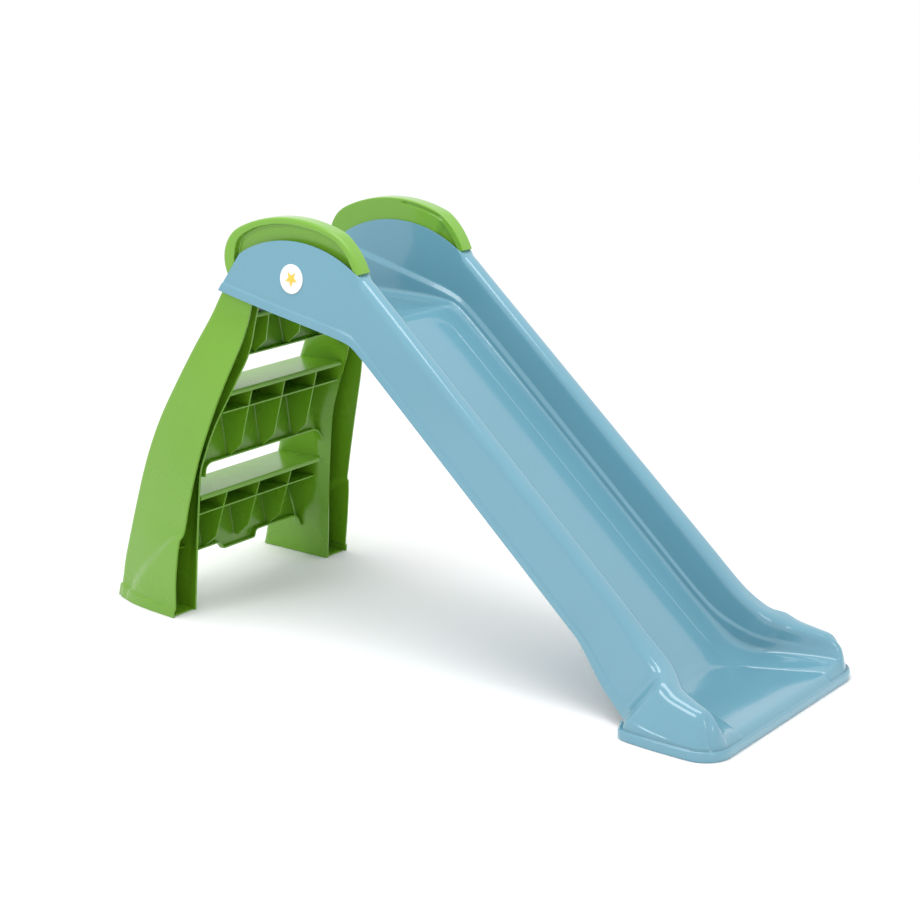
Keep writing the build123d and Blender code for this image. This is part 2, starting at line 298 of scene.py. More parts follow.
def make_object(name, meshes, material, body, nodes=()):
    """One piece from meshes in millimetres, with its material, its body and the CAD nodes it stands for."""
    work = bmesh.new()
    for mesh in meshes:
        work.from_mesh(mesh)
    whole = bpy.data.meshes.new(name)
    bmesh.ops.scale(work, vec=(METRE, METRE, METRE), verts=work.verts)
    for face in work.faces:
        face.smooth = True
    work.to_mesh(whole)
    work.free()
    piece = bpy.data.objects.new(name, whole)
    bpy.context.scene.collection.objects.link(piece)
    whole.materials.append(material)
    weighted = piece.modifiers.new("even_shading", "WEIGHTED_NORMAL")
    weighted.keep_sharp = True
    weighted.weight = 60
    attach(piece, body)
    if nodes:
        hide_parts(*nodes)


# Materials

def plastic(name, colour, roughness, peel=0.006, mottle=0.02, coat=0.5, seed=0.0):
    """Moulded plastic: slow colour drift, faint flow marks, and fine peel in the gloss."""
    material = bpy.data.materials.new(name)
    material.use_nodes = True
    nodes, links = material.node_tree.nodes, material.node_tree.links
    shader = nodes["Principled BSDF"]
    shader.inputs["Coat Weight"].default_value = coat
    shader.inputs["Coat Roughness"].default_value = 0.04
    shader.inputs["IOR"].default_value = 1.5
    place = nodes.new("ShaderNodeTexCoord")
    shift = nodes.new("ShaderNodeMapping")
    shift.inputs["Location"].default_value = (seed, seed * 0.7, seed * 1.3)
    links.new(place.outputs["Object"], shift.inputs["Vector"])

    def noise(scale, detail, stretch=None):
        texture = nodes.new("ShaderNodeTexNoise")
        texture.inputs["Scale"].default_value = scale
        texture.inputs["Detail"].default_value = detail
        source = shift.outputs["Vector"]
        if stretch:
            pull = nodes.new("ShaderNodeMapping")
            pull.inputs["Scale"].default_value = stretch
            links.new(source, pull.inputs["Vector"])
            source = pull.outputs["Vector"]
        links.new(source, texture.inputs["Vector"])
        return texture.outputs["Fac"]

    drift = nodes.new("ShaderNodeValToRGB")
    low = [c * (1.0 - mottle) for c in colour]
    high = [min(1.0, c * (1.0 + mottle)) for c in colour]
    drift.color_ramp.elements[0].position = 0.35
    drift.color_ramp.elements[0].color = (*low, 1.0)
    drift.color_ramp.elements[1].position = 0.65
    drift.color_ramp.elements[1].color = (*high, 1.0)
    links.new(noise(4.0, 3.0), drift.inputs["Fac"])
    links.new(drift.outputs["Color"], shader.inputs["Base Color"])

    gloss = nodes.new("ShaderNodeMapRange")
    gloss.inputs["From Min"].default_value = 0.3
    gloss.inputs["From Max"].default_value = 0.7
    gloss.inputs["To Min"].default_value = roughness * 0.85
    gloss.inputs["To Max"].default_value = roughness * 1.2
    links.new(noise(9.0, 2.0), gloss.inputs["Value"])
    links.new(gloss.outputs["Result"], shader.inputs["Roughness"])

    waves = nodes.new("ShaderNodeBump")
    waves.inputs["Strength"].default_value = 0.03
    waves.inputs["Distance"].default_value = 0.002
    links.new(noise(6.0, 0.0), waves.inputs["Height"])
    grain = nodes.new("ShaderNodeBump")
    grain.inputs["Strength"].default_value = peel
    grain.inputs["Distance"].default_value = 0.0003
    links.new(noise(150.0, 0.0), grain.inputs["Height"])
    links.new(waves.outputs["Normal"], grain.inputs["Normal"])
    links.new(grain.outputs["Normal"], shader.inputs["Normal"])
    return material


slide_blue = plastic("slide_blue", (0.125, 0.300, 0.385), 0.15, seed=1.0)
ladder_green = plastic("ladder_green", (0.130, 0.315, 0.012), 0.27, coat=0.15, seed=5.0)
handrail_green = plastic("handrail_green", (0.150, 0.350, 0.026), 0.22, coat=0.3, seed=9.0)
pin_plastic = plastic("pin_plastic", (0.60, 0.60, 0.58), 0.45, peel=0.03, coat=0.0, seed=3.0)
badge_white = plastic("badge_white", (0.80, 0.80, 0.78), 0.25, seed=7.0)
badge_yellow = plastic("badge_yellow", (0.80, 0.48, 0.05), 0.28, seed=8.0)

# Slide shell

PLATFORM_ROWS = 76
CHUTE_ROWS = 60
EXIT_ROWS = 71
FRONT_ROWS = 7

# Half widths of the lines inside the walls, at the platform and at the foot of the chute
RIM_INNER = (112.5, 117.0)
HALF_WIDTHS = {
    "middle": (0.0, 0.0), "panel_in": (57.0, 60.0), "panel_out": (61.0, 64.0), "bed_corner": (104.5, 104.5),
    "ledge_low": (106.0, 106.0), "ledge_high": (110.3, 110.3), "rim_in": RIM_INNER,
}
# The outer wall leans out below its rim, less and less down the chute, and stands back a little under it
RIM_OUTER = (143.0, 149.0)
SIDE_FLARE = 0.115
FLARE_REACH = 1.35
FLARE_FADE = 0.25
WALL_TUCK = 0.02
# The rims dip at their rear ends
REAR_DIP = 1.4
REAR_DIP_LENGTH = 7.0

# How far before and after a line the curve across it starts and ends
PLAIN_LEG = 2.0
SHELL_LEGS = {
    "bed_corner": (22.0, 10.0), "panel_in": (2.5, 2.0), "panel_out": (2.0, 2.5), "band_top": (1.6, 1.6),
    "band": (1.6, 1.6),
}
RIM_LEG = 13.0
SLOT_LEG = 0.35
SLOT_END_LEGS = (1.5, 4.0, 8.0)
# The rims grow rounder over these rows, by so much inside and outside
ROUNDER_FROM_ROW = 150.0
ROUNDER_OVER_ROWS = 25.0
RIM_INNER_GROWTH = (5.0, 6.0)
RIM_OUTER_GROWTH = (6.0, 3.0)
# Steps across each stretch between two lines, from the middle to the lower edge
STEPS_ACROSS = (14, 1, 5, 2, 2, 9, 2, 11, 1, 3)

# Sunk panels of the bed and of the exit's floor: depth, start, and how far the start curves back or forward
BED_PANEL = 0.9
BED_PANEL_X = -84.0
BED_PANEL_END_X = 412.0
BED_ARCH = 24.0
BED_ARCH_HALF = 60.0
FLOOR_PANEL = 1.2
FLOOR_PANEL_X = 427.0
FLOOR_ARCH = 26.0
FLOOR_ARCH_HALF = 73.5
# Half the panels' width: (x, y)
PANEL_HALF = ((JOIN_X, 59.0), (320.0, 62.0), (385.0, 65.0), (440.0, 72.5), (453.0, 76.0), (560.0, 132.5))

GROOVE_Z = 15.0
BEAD_OUT = 6.5
BEAD_START_X = 410.0
CORNER_RADIUS = 38.0
BASE_FRONT = 573.0
BASE_SIDE = 211.2
# Groove and bead across the base's edge: (out, up)
BEAD_PROFILE = (
    (0.7, -1.7), (1.5, -2.0), (2.3, -1.3), (3.4, -0.1), (4.7, -0.3), (5.8, -1.6), (BEAD_OUT - 0.1, -4.0),
    (BEAD_OUT, -8.0), (BEAD_OUT - 0.2, -12.0), (BEAD_OUT - 0.9, -14.3),
)
BEAD_SPACING = 0.9

SOCKET_RADII = (9.5, 5.4)
SOCKET_STEPS = 40
SOCKET_SPANS = ((114.2, 116.6), (141.4, 144.6))


def platform_heights():
    """Height of each long line of the shell as a function of x, from the bed's middle to the lower edge."""
    def bed(x):
        return soft_min(BED_LEVEL + 0 * x, below_rim(x, BED_DEPTH), BED_BEND)

    def ledge(x):
        return soft_min(falling(LEDGE_LINE, x), below_rim(x, LEDGE_DEPTH), LEDGE_BEND)

    def ledge_half(x):
        return LEDGE_HALF * (1.0 - LEDGE_NARROWING * smooth((x - JOIN_X) / LEDGE_TAPER))

    def lower(x):
        return soft_min(falling(LOWER_LINE, x), below_rim(x, SIDE_DEPTH), LOWER_BEND)

    return {
        "middle": bed,
        "panel_in": bed,
        "panel_out": bed,
        "bed_corner": bed,
        "ledge_low": lambda x: ledge(x) - ledge_half(x),
        "ledge_high": lambda x: ledge(x) + ledge_half(x),
        "rim_in": rim_z,
        "rim_out": rim_z,
        "band_top": lambda x: lower(x) + BAND_HEIGHT + BAND_STEP,
        "band": lambda x: lower(x) + BAND_HEIGHT,
        "lower": lower,
    }


# Depth of each line below the chute's rim
DEPTHS = {
    "middle": BED_DEPTH,
    "panel_in": BED_DEPTH,
    "panel_out": BED_DEPTH,
    "bed_corner": BED_DEPTH,
    "ledge_low": LEDGE_DEPTH + LEDGE_HALF,
    "ledge_high": LEDGE_DEPTH - LEDGE_HALF,
    "rim_in": 0.0,
    "rim_out": 0.0,
    "band_top": SIDE_DEPTH - BAND_HEIGHT - BAND_STEP,
    "band": SIDE_DEPTH - BAND_HEIGHT,
    "lower": SIDE_DEPTH,
}
KEYS = list(DEPTHS)

# Lines of the exit at seven places, as (x, y, z): foot of the chute, valley behind the side bulge,
# the bulge's rear edge, and on to the front
EXIT = {
    "middle": (
        (385, 0, 73.5), (418, 0, 44), (440, 0, 32), (468, 0, 26.5),
        (505, 0, 25), (538, 0, 24.6), (561, 0, 22.5),
    ),
    "panel_in": (
        (385, 63, 73.5), (418, 66, 44), (440, 70, 32), (468, 83.5, 26.7),
        (505, 102.5, 25.4), (540, 120.5, 25), (562, 130, 23.5),
    ),
    "panel_out": (
        (385, 67, 73.8), (418, 70.5, 44.5), (440, 75.5, 32.8), (468, 88.5, 27.6),
        (505, 107.5, 26.6), (540, 125.5, 26.2), (562, 135, 24.5),
    ),
    "bed_corner": (
        (387, 106, 72), (420, 112, 46.5), (445, 123, 36.5), (470, 137, 32),
        (507, 152, 32), (539, 163, 32), (562, 170, 30),
    ),
    "ledge_low": (
        (393.5, 110, 85), (432, 116, 66), (457, 127, 55), (480, 145, 48.5),
        (513, 159, 45), (543, 169, 43), (562.5, 175, 38),
    ),
    "ledge_high": (
        (394.5, 113.5, 88), (434, 118.5, 70), (459, 129.5, 60), (481, 147.5, 52.5),
        (514, 161, 48.5), (544, 170.5, 46), (563, 177, 40),
    ),
    "rim_in": (
        (425, 119, 121), (450, 123.5, 103), (470, 133, 90), (493, 152, 77.5),
        (522, 167, 70), (548, 177, 62.5), (565, 184, 45),
    ),
    "rim_out": (
        (423, 156, 119), (457, 166, 95), (475, 184, 86.5), (493, 190, 77.5),
        (517, 194, 70), (546, 198, 62), (566, 201.5, 43),
    ),
    "band_top": (
        (379, 161, 57), (417, 174, 36), (436, 201, 32), (482, 208, 22.5),
        (520, 210, 20.5), (548, 210, 20), (568, 210, 20),
    ),
    "band": (
        (377, 162.5, 54), (415, 176, 30), (431, 203, 27), (481, 209.5, 21),
        (520, 210.8, 18.5), (548, 210.8, 18.5), (568.5, 210.8, 18.5),
    ),
    "lower": (
        (371, 163.5, 41), (411, 179, 16), (427, 205, 15), (480, 210.4, 15),
        (520, 211.2, 15), (548, 211.2, 15), (569, 211.2, 15),
    ),
}
LAST_ROW_Y = {"rim_in": 190.0, "rim_out": 203.0, "band_top": 210.3, "band": 210.9}
EXIT_PLACES = len(EXIT["middle"])


def rear_of(key, height):
    """Where a line starts at the rear: below the rim, that is on the wall's slanting rear edge."""
    if key in ("middle", "panel_in", "panel_out", "bed_corner"):
        return REAR_X
    if key in ("rim_in", "rim_out"):
        return CREST_CORNER_X
    rear_x = REAR_X
    for _ in range(8):
        rear_x = REAR_X + (height(rear_x) - REAR_Z) / REAR_RISE
    return rear_x


def half_width(key, x, z, along):
    """Distance of a line from the middle, at each x and height; along goes from 0 to 1 down the chute."""
    if key in HALF_WIDTHS:
        start, end = HALF_WIDTHS[key]
        return start + (end - start) * along
    drop = np.minimum(rim_z(x) - z, SIDE_DEPTH * FLARE_REACH) * (1.0 - FLARE_FADE * along)
    y = RIM_OUTER[0] + (RIM_OUTER[1] - RIM_OUTER[0]) * along + SIDE_FLARE * drop * SQUARE
    if key != "rim_out":
        y = y - WALL_TUCK * drop
    if key in ("band", "lower"):
        y = y + BAND_OUT
    return y


def shell_line(key, height):
    """One line of the shell from its rear end down the chute and through the exit to the front."""
    join_x = JOIN_X - DEPTHS[key] * sin(CHUTE_ANGLE)
    end_x = CHUTE_END_X - DEPTHS[key] * sin(CHUTE_ANGLE)
    rear_x = rear_of(key, height)
    x = np.concatenate([rear_x + (join_x - rear_x) * np.linspace(0.0, 1.0, PLATFORM_ROWS),
                        join_x + (end_x - join_x) * np.linspace(0.0, 1.0, CHUTE_ROWS)[1:]])
    z = height(x)
    along = np.clip((x - join_x) / (end_x - join_x), 0.0, 1.0)
    y = half_width(key, x, z, along)
    if key in ("rim_in", "rim_out"):
        z = z - REAR_DIP * np.exp(-(x - rear_x) / REAR_DIP_LENGTH)
    line = np.stack([x, y, z], axis=1)

    # The exit's curve leaves the chute in line with its last rows
    lead = 6
    way = line[-1] - line[-lead]
    before = line[-1] - way / np.linalg.norm(way) * ((end_x - join_x) / CHUTE_ROWS * lead)
    spots = [before, line[-1]] + [np.array(spot, float) for spot in EXIT[key]]
    last = spots[-1].copy()
    last[0] = BASE_FRONT
    last[1] = LAST_ROW_Y.get(key, BASE_SIDE if key == "lower" else last[1])
    last[2] = GROOVE_Z
    spots.append(last)
    front_place = EXIT_PLACES + 1.0
    along_exit = np.linspace(1.0, front_place, EXIT_ROWS)[1:]
    along_front = np.linspace(front_place, front_place + 1.0, FRONT_ROWS)[1:]
    return np.concatenate([line, through(spots, np.concatenate([along_exit, along_front]))])


def slide_rows():
    """Corners and curve lengths of each section of half the shell, and the row where the slot ends."""
    heights = platform_heights()
    corners = np.stack([shell_line(key, heights[key]) for key in KEYS], axis=1)
    rows = len(corners)
    legs = np.ones((rows, len(KEYS), 2)) * PLAIN_LEG
    for key, pair in SHELL_LEGS.items():
        legs[:, KEYS.index(key)] = pair
    rim = np.where(corners[:, KEYS.index("rim_in"), 0] < SLOT_END_X, SLOT_LEG, RIM_LEG)
    slot_end = np.argmax(rim > 1.0)
    rim[slot_end - len(SLOT_END_LEGS):slot_end] = SLOT_END_LEGS
    rounder = smooth((np.arange(rows) - ROUNDER_FROM_ROW) / ROUNDER_OVER_ROWS)
    for key, (before, after) in (("rim_in", RIM_INNER_GROWTH), ("rim_out", RIM_OUTER_GROWTH)):
        legs[:, KEYS.index(key)] = np.stack([rim + before * rounder, rim + after * rounder], axis=1)
    return corners, legs, slot_end


def round_corner(points):
    """Pulls the exit base's square front corners in to round ones."""
    centre_x, centre_y = BASE_FRONT - CORNER_RADIUS, BASE_SIDE - CORNER_RADIUS
    ahead = points[..., 0] - centre_x
    aside = np.abs(points[..., 1]) - centre_y
    inside = (ahead > 0) & (aside > 0)
    reach = np.maximum(ahead, aside)
    round_reach = np.maximum(np.hypot(ahead, aside), 1e-6)
    share = np.where(inside, reach / round_reach, 1.0)
    points[..., 0] = np.where(inside, centre_x + ahead * share, points[..., 0])
    points[..., 1] = np.where(inside, np.sign(points[..., 1]) * (centre_y + aside * share), points[..., 1])
    return points


def sink_panels(points):
    """Lowers the bed's long panel, which starts in an arch, and the floor's flat one, which starts in a U."""
    x, aside = points[..., 0].copy(), np.abs(points[..., 1])
    half = np.interp(x, *zip(*PANEL_HALF))
    beside = smooth((half - aside) / 2.4 + 0.5)
    arch = BED_PANEL_X + BED_ARCH * (np.minimum(aside, BED_ARCH_HALF) / BED_ARCH_HALF) ** 5
    bed = BED_PANEL * smooth((x - arch) / 6.0) * smooth((BED_PANEL_END_X - x) / 30.0) * beside
    points[..., 0] -= bed * sin(CHUTE_ANGLE)
    points[..., 2] -= bed * SQUARE
    start = FLOOR_PANEL_X + FLOOR_ARCH * (aside / FLOOR_ARCH_HALF) ** 2
    points[..., 2] -= FLOOR_PANEL * smooth((x - start) / 3.2) * beside
    return points


def add_bead(points, faces, rows, columns):
    """Adds the groove and bead that run from one rear corner of the base round its front to the other."""
    first = next(i for i in range(rows) if points[i * columns + columns - 1][0] > BEAD_START_X)
    path = [i * columns + columns - 1 for i in range(first, rows)]
    path += [(rows - 1) * columns + j for j in range(columns - 2, 0, -1)]
    path += [i * columns for i in range(rows - 1, first - 1, -1)]
    ring = np.array([points[i] for i in path])
    keep = [0]
    for i in range(1, len(path)):
        if np.linalg.norm(ring[i] - ring[keep[-1]]) > BEAD_SPACING:
            keep.append(i)
    previous = [path[i] for i in keep]
    ring = ring[keep]
    way = np.gradient(ring[:, :2], axis=0)
    way /= np.linalg.norm(way, axis=1, keepdims=True)
    out = np.stack([way[:, 1], -way[:, 0]], axis=1)
    if out[len(out) // 2, 0] < 0:
        out = -out
    raised = smooth((ring[:, 2] - GROOVE_Z) / 6.0)
    for away, drop in BEAD_PROFILE:
        level = (np.maximum(ring[:, 2], GROOVE_Z) + drop) * (1 - raised) + (GROOVE_Z + drop) * raised
        start = len(points)
        for p, n, z in zip(ring, out, level):
            points.append((p[0] + n[0] * away, p[1] + n[1] * away, z))
        current = list(range(start, start + len(ring)))
        for i in range(len(ring) - 1):
            faces.append((previous[i], previous[i + 1], current[i + 1], current[i]))
        previous = current


def slide_shell():
    """The blue moulding as one sheet with a wall: bed, ledges, double side walls, rims, base and bead."""
    corners, legs, slot_end = slide_rows()
    half, starts = rounded_rows(corners, legs, STEPS_ACROSS)
    floor_columns = starts[KEYS.index("bed_corner")]
    half[:, :floor_columns] = sink_panels(half[:, :floor_columns])
    full = round_corner(np.concatenate([half[:, :0:-1] * (1, -1, 1), half], axis=1))
    rows, columns = full.shape[:2]
    middle = half.shape[1] - 1

    # The slots for the handrails are left open between the rims
    skip = np.zeros((rows - 1, columns - 1), bool)
    for j in range(starts[KEYS.index("rim_in")] + TURN_STEPS, starts[KEYS.index("rim_out")]):
        skip[:slot_end - len(SLOT_END_LEGS), [middle + j, middle - j - 1]] = True
    faces = grid_faces(rows, columns, skip=skip)
    points = [tuple(p) for p in full.reshape(-1, 3)]
    add_bead(points, faces, rows, columns)
    return thickened("slide_shell_sheet", points, faces)


def socket(y_from, y_to):
    """Short ring on a wall's inner side, round a pin's end."""
    outer, inner = SOCKET_RADII
    loops = []
    for radius, y in ((outer, y_from), (outer, y_to), (inner, y_to), (inner, y_from)):
        for a in np.linspace(0, 2 * pi, SOCKET_STEPS, endpoint=False):
            loops.append((1000 * PIVOT.x + radius * cos(a), y, 1000 * PIVOT.z + radius * sin(a)))
    return facing_out(mesh_from("socket", loops, ring_faces(4, SOCKET_STEPS, closed=True)))


def build_slide():
    meshes = [slide_shell()]
    for span in SOCKET_SPANS:
        ring = socket(*span)
        meshes += [ring, mirrored(ring)]
    make_object("slide_shell_form", meshes, slide_blue, "slide", ("slide_shell",))


# Handrails

RAIL_ARCS = (
    ((-350.0, 554.0), (-356.0, 598.0), (-327.0, 633.0)),
    ((-327.0, 633.0), (-216.0, 657.5), (-128.0, 640.0)),
    ((-128.0, 640.0), (-101.0, 614.0), (-85.0, 586.0)),
)
ARC_STEPS = (22, 52, 22)
SMOOTHING_ROUNDS = 6
RAIL_Y = (115.6, 141.4)
SKIRT = 27.0
SKIRT_HALF_ANGLE = 34.0
# Depth of the outer lip: (share of the grip's length, depth)
LIP = ((0.0, 22.0), (0.1, 22.0), (0.22, 14.0), (0.34, 10.0), (0.85, 10.0), (1.0, 13.0))
# Finger groove on the inner side: its depth and the shares of the length where it starts and ends
GROOVE_DEPTH = 2.0
GROOVE_FROM, GROOVE_TO = 0.56, 0.80
# How far the web stands back from the lip, and from the inner side near the front end
WEB_BACK = 9.5
FRONT_WEB_BACK = 4.5
FRONT_WEB_FROM = 0.78
# How far before and after each corner of the section its curve starts and ends, and the steps between corners
HANDRAIL_LEGS = (
    (1.0, 1.0), (0.8, 0.8), (0.8, 0.8), (0.8, 0.8), (0.5, 0.5), (0.5, 0.5),
    (0.4, 0.4), (3.4, 4.5), (4.5, 5.5), (1.4, 1.4), (2.6, 3.2), (1.0, 1.0),
)
HANDRAIL_STEPS = (5, 1, 1, 1, 1, 1, 1, 3, 2, 2, 5)
PAD_ANGLES = (-24.0, 0.0, 24.0)
PAD_HALF_ANGLE = 2.0
PAD_DEPTHS = (10.0, 25.0)
PAD_Y = (RAIL_Y[1] - 11.0, RAIL_Y[1] - 0.9)


def arc_points(start, middle, end, count):
    """Points on the circle through three points."""
    ax, az = start
    bx, bz = middle
    cx, cz = end
    d = 2.0 * (ax * (bz - cz) + bx * (cz - az) + cx * (az - bz))
    a2, b2, c2 = ax * ax + az * az, bx * bx + bz * bz, cx * cx + cz * cz
    ux = (a2 * (bz - cz) + b2 * (cz - az) + c2 * (az - bz)) / d
    uz = (a2 * (cx - bx) + b2 * (ax - cx) + c2 * (bx - ax)) / d
    radius = sqrt((ax - ux) ** 2 + (az - uz) ** 2)
    first = np.arctan2(az - uz, ax - ux)
    last = np.arctan2(cz - uz, cx - ux)
    if last > first:
        last -= 2 * pi
    turn = np.linspace(first, last, count)
    return np.stack([ux + radius * np.cos(turn), uz + radius * np.sin(turn)], axis=1)


def grip_line():
    """Side view of the grip's top, from its rear end to its front end, smoothed where its arcs meet."""
    arcs = [arc_points(*arc, count) for arc, count in zip(RAIL_ARCS, ARC_STEPS)]
    top = np.concatenate([arcs[0][:-1], arcs[1][:-1], arcs[2]])
    for _ in range(SMOOTHING_ROUNDS):
        top[1:-1] = 0.5 * top[1:-1] + 0.25 * (top[:-2] + top[2:])
    return top


def handrail():
    """Arched grip on the +Y side: a wide lip, a web set back under it, and a skirt down in the slot."""
    top = grip_line()
    way = np.gradient(top, axis=0)
    way /= np.linalg.norm(way, axis=1, keepdims=True)
    inward = np.stack([way[:, 1], -way[:, 0]], axis=1)
    share = np.linspace(0.0, 1.0, len(top))
    turn = np.radians(-SKIRT_HALF_ANGLE + 2.0 * SKIRT_HALF_ANGLE * share)
    reach = CREST_RADIUS - SKIRT
    foot = np.stack([CREST_X + reach * np.sin(turn), CREST_Z + reach * np.cos(turn)], axis=1)
    lip = at_levels(LIP, share)
    groove = GROOVE_DEPTH * smooth((share - GROOVE_FROM) / 0.012) * smooth((GROOVE_TO - share) / 0.03)
    y_in, y_out = RAIL_Y
    web_in = y_in + FRONT_WEB_BACK * smooth((share - FRONT_WEB_FROM) / 0.05)
    web_out = y_out - WEB_BACK

    def at(depth, y):
        depth = np.broadcast_to(depth, share.shape)
        spot = top + inward * depth[:, None]
        return np.stack([spot[:, 0], np.broadcast_to(y, share.shape), spot[:, 1]], axis=1)

    def bottom(y):
        return np.stack([foot[:, 0], np.broadcast_to(y, share.shape), foot[:, 1]], axis=1)

    corners = np.stack([
        bottom(web_in),
        at(12.5, web_in),
        at(10.5, y_in),
        at(9.0, y_in),
        at(8.4, y_in + groove),
        at(4.2, y_in + groove),
        at(3.6, y_in),
        at(0.0, y_in),
        at(0.0, y_out),
        at(lip, y_out),
        at(lip + 0.6, web_out),
        bottom(web_out),
    ], axis=1)
    legs = np.tile(HANDRAIL_LEGS, (len(top), 1, 1))
    loops, _ = rounded_rows(corners, legs, HANDRAIL_STEPS, turn=4)
    return solid_loft("handrail", loops, bevel=1.6, segments=3)


def grip_pads():
    """Pads on the skirt that press on the slot's outer wall."""
    meshes = []
    shallow, deep = PAD_DEPTHS
    for angle in PAD_ANGLES:
        back, front = radians(angle - PAD_HALF_ANGLE), radians(angle + PAD_HALF_ANGLE)
        outline = []
        for turn, depth in ((back, deep), (back, shallow), (front, shallow), (front, deep)):
            reach = CREST_RADIUS - depth
            outline.append((CREST_X + reach * sin(turn), 0.0, CREST_Z + reach * cos(turn)))
        meshes.append(slab("grip_pad", outline, 1, *PAD_Y))
    return meshes


def build_handrails():
    left = [handrail()] + grip_pads()
    right = [mirrored(mesh) for mesh in left]
    for name, meshes in (("handrail_left", left), ("handrail_right", right)):
        make_object(name + "_form", meshes, handrail_green, "slide", (name,))


# Ladder

# Corners of a rail's section at each height, as (z, x) for the lines and (z, y) for the rest: the rear web's
# outer and inner corner, the outer plate's front edge, and the bend and the front edge of the inner plate
REAR_LINE = (
    (0.0, -575.5), (24.0, -570.0), (64.0, -563.0), (108.0, -552.0), (204.0, -527.5),
    (257.0, -511.0), (312.0, -489.0), (373.0, -457.5), (440.0, -420.0), (533.0, -365.0),
)
REAR_OUT = (
    (0.0, 186.0), (60.0, 183.5), (110.0, 181.0), (165.0, 177.0), (255.0, 170.0),
    (358.0, 159.0), (430.0, 150.0), (500.0, 140.5), (533.0, 140.5),
)
REAR_IN_LINE = (
    (0.0, -566.0), (75.0, -541.0), (186.0, -503.0), (366.0, -435.5), (494.0, -376.0), (533.0, -352.0),
)
REAR_IN = (
    (0.0, 166.0), (75.0, 158.0), (150.0, 142.0), (186.0, 138.0),
    (366.0, 123.5), (430.0, 119.5), (494.0, 117.5), (533.0, 117.5),
)
FRONT_LINE = (
    (0.0, -418.0), (60.0, -413.4), (110.0, -408.0), (130.0, -405.5), (150.0, -400.2), (190.0, -392.0),
    (270.0, -372.4), (350.0, -348.0), (430.0, -325.0), (460.0, -317.0), (533.0, -298.0),
)
FRONT_OUT = (
    (0.0, 211.0), (24.0, 211.4), (60.0, 212.8), (110.0, 211.0), (135.0, 207.6),
    (150.0, 205.5), (190.0, 203.2), (270.0, 196.3), (310.0, 190.5), (350.0, 183.0),
    (390.0, 172.0), (430.0, 157.6), (460.0, 147.2), (500.0, 140.5), (533.0, 140.5),
)
BEND_IN = (
    (0.0, 164.0), (75.0, 160.0), (150.0, 150.5), (186.0, 147.5), (255.0, 146.5),
    (366.0, 137.5), (430.0, 121.5), (460.0, 117.5), (533.0, 117.5),
)
FRONT_IN_LINE = (
    (0.0, -417.5), (110.0, -410.6), (190.0, -404.0), (230.0, -400.3), (270.0, -390.8), (310.0, -376.3),
    (350.0, -357.7), (390.0, -339.0), (430.0, -325.5), (460.0, -320.0), (533.0, -300.0),
)
FRONT_IN = (
    (0.0, 166.0), (110.0, 163.8), (230.0, 161.6), (270.0, 155.7), (310.0, 150.7),
    (350.0, 143.5), (390.0, 135.8), (430.0, 123.1), (460.0, 117.5), (533.0, 117.5),
)
BEND_BACK = 18.0
RAIL_BASE = 0.8
RAIL_TOP = 533.0
RAIL_LEVELS = np.concatenate([[RAIL_BASE, 3.0, 9.0, 12.0, 14.0, 16.0, 18.0, 20.0, 22.0],
                              np.linspace(25.0, RAIL_TOP, 104)])
# The outer plate bulges between its front edge and its rear corner: shares of the two, and (z, bulge)
BULGE_SHARES = (0.45, 0.55)
BULGE = ((0.0, 6.0), (60.0, 4.0), (200.0, 2.0), (RAIL_TOP, 0.0))
# How far before and after each corner of the section its curve starts and ends, and the steps between corners
RAIL_LEGS = ((1.0, 1.0), (40.0, 40.0), (11.0, 8.0), (8.0, 8.0), (8.0, 5.0), (1.0, 1.0))
RAIL_STEPS = (9, 9, 3, 8, 2)
# Upper edge of the raised panel on a foot: (x, z)
PANEL_EDGE = (
    (-545.0, 8.0), (-505.0, 58.0), (-456.0, 105.0), (-421.0, 132.0), (-402.0, 137.0), (-380.0, 138.0),
)
PANEL_OUT = 5.2
FOOT_BEAD = 3.2
FOOT_BEAD_BACK = 4.0
# The bead's height at the rear corner, and how much lower it is at the front
FOOT_BEAD_HEIGHT = 22.0
FOOT_BEAD_FALL = 8.0
# Webs across a rail's channel: height, thickness, and how far they stay back from the front edge
CHANNEL_WEBS = ((0.0, 3.0, 3.0), (100.0, 2.4, 34.0))

HEAD_RADIUS = 25.5
HEAD_Y = (117.5, 140.5)
# Foot of the head, just under the rail's top
HEAD_FOOT_X = (-363.0, -300.0)
HEAD_FOOT_Z = RAIL_TOP - 3.0
STEPS = (
    # tread height, back and front x, riser foot height and x
    (186.0, -503.0, -418.0, 75.0, -484.0),
    (366.0, -437.0, -358.0, 243.0, -421.0),
    (494.0, -376.0, -318.0, 423.0, -362.0),
)
RIB_PITCH = 80.0
RIB = 2.6
SHELF_DROP = 32.0
WINDOW_CORNER = 22.0
TAB_DROP = 12.0
TAB_HALF = 44.0
STEP_WALL = 2.8
STEP_LIP = 5.0
STEP_FLANGE = 11.0
STEP_LEGS = ((1.0, 1.0), (1.6, 1.6), (5.0, 5.0), (3.5, 3.5), (1.0, 1.0))
STEP_STEPS = (1, 8, 8, 2)
# Lower front corner of a rib, from the riser's foot
RIB_CORNER = (34.0, 22.0)


